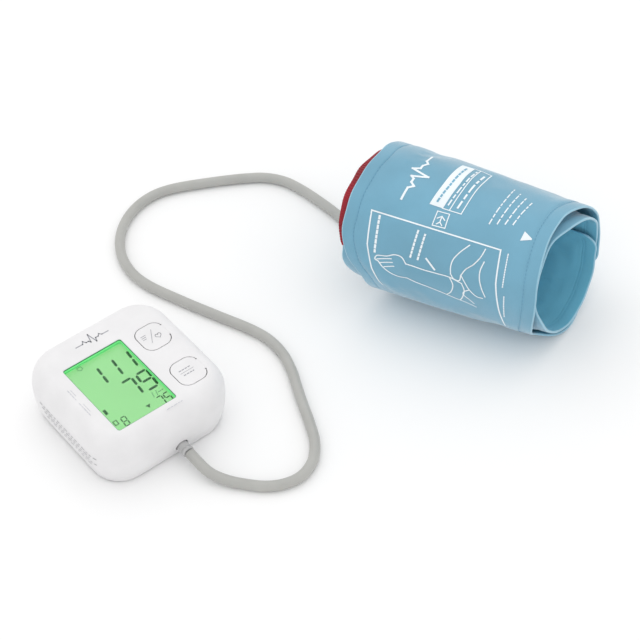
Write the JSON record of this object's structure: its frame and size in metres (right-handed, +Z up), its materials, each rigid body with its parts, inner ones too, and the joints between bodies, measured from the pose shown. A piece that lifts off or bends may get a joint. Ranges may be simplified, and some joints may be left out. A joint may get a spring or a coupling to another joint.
{
  "type": "upper arm blood pressure monitor",
  "caption": "Compact square table-top blood pressure reader with a lit display and push keys, joined by a soft air hose to a rolled fabric arm cuff.",
  "frame": {"origin": "middle of the footprint of the reader and the rolled cuff, on the table surface", "axes": "+X along the rolled cuff towards its narrower end, +Y away from the reader towards the cuff, +Z up"},
  "size_m": [0.3454, 0.3153, 0.1064],
  "materials": {
    "case_white": "fine satin moulded ABS",
    "window_clear": "clear acrylic",
    "lcd": "lit liquid crystal panel",
    "diffuser": "milky acrylic",
    "black_plastic": "moulded",
    "board": "glass fibre board",
    "steel": "plated",
    "cell_jacket": "printed shrink jacket",
    "rubber_grey": "moulded silicone",
    "hose_grey": "smooth PVC tube",
    "plug_grey": "moulded",
    "cuff_nylon": "coated nylon",
    "cuff_lining": "coated nylon, inner side",
    "bladder_tpu": "film",
    "hook_loop": "hook and loop tape",
    "crimson_tape": "ribbed woven tape"
  },
  "bodies": {
    "reader_and_cuff": {"top_cover": "case_white", "base_cover": "case_white", "display_window": "window_clear", "lcd_panel": "lcd", "lcd_backlight": "diffuser", "lcd_frame": "black_plastic", "memory_switch": "black_plastic", "start_stop_switch": "black_plastic", "pump_head": "black_plastic", "exhaust_valve": "black_plastic", "pressure_sensor": "black_plastic", "main_board": "board", "pump_motor": "steel", "contact_plate_1": "steel", "contact_plate_2": "steel", "contact_plate_3": "steel", "contact_plate_4": "steel", "contact_spring_1": "steel", "contact_spring_2": "steel", "contact_spring_3": "steel", "contact_spring_4": "steel", "case_screw_1": "steel", "case_screw_2": "steel", "case_screw_3": "steel", "case_screw_4": "steel", "battery_1": "cell_jacket", "battery_2": "cell_jacket", "battery_3": "cell_jacket", "battery_4": "cell_jacket", "air_tube": "rubber_grey", "foot_1": "rubber_grey", "foot_2": "rubber_grey", "foot_3": "rubber_grey", "foot_4": "rubber_grey", "air_hose": "hose_grey", "air_socket": "plug_grey", "cuff_spout": "plug_grey", "cuff_inner_face": "cuff_nylon", "cuff_outer_face": "cuff_nylon", "cuff_inner_lining": "cuff_lining", "cuff_outer_lining": "cuff_lining", "cuff_bladder": "bladder_tpu", "loop_patch": "hook_loop", "edge_tape": "crimson_tape"},
    "memory_key": {"memory_key": "case_white"},
    "start_stop_key": {"start_stop_key": "case_white"},
    "battery_cover": {"battery_cover": "case_white"},
    "air_plug": {"air_plug": "plug_grey", "plug_ring": "plug_grey"},
    "cuff_flap": {"flap_face": "cuff_nylon", "flap_lining": "cuff_lining", "hook_patch": "hook_loop"}
  },
  "joints": [
    {"name": "memory_press", "type": "hinge", "parent": "reader_and_cuff", "child": "memory_key", "pos_m": [-0.08699, -0.05187, 0.0454], "axis": [0.887, -0.4617, 0], "range_deg": [0, 2.5], "stiffness_Nm_per_rad": 1.6},
    {"name": "start_stop_press", "type": "hinge", "parent": "reader_and_cuff", "child": "start_stop_key", "pos_m": [-0.05124, -0.07003, 0.0454], "axis": [0.887, -0.4617, 0], "range_deg": [0, 2.5], "stiffness_Nm_per_rad": 1.6},
    {"name": "battery_cover_slide", "type": "slide", "parent": "reader_and_cuff", "child": "battery_cover", "axis": [-0.887, 0.4617, 0], "range_m": [0, 0.012]},
    {"name": "air_plug_pull", "type": "slide", "parent": "reader_and_cuff", "child": "air_plug", "axis": [0.887, -0.4617, 0], "range_m": [0, 0.012], "deforming": ["air_hose"]},
    {"name": "cuff_flap_peel", "type": "hinge", "parent": "reader_and_cuff", "child": "cuff_flap", "pos_m": [0.082, 0.14885, 0.07635], "axis": [0.9988, -0.0249, -0.0432], "range_deg": [0, 60]}
  ]
}
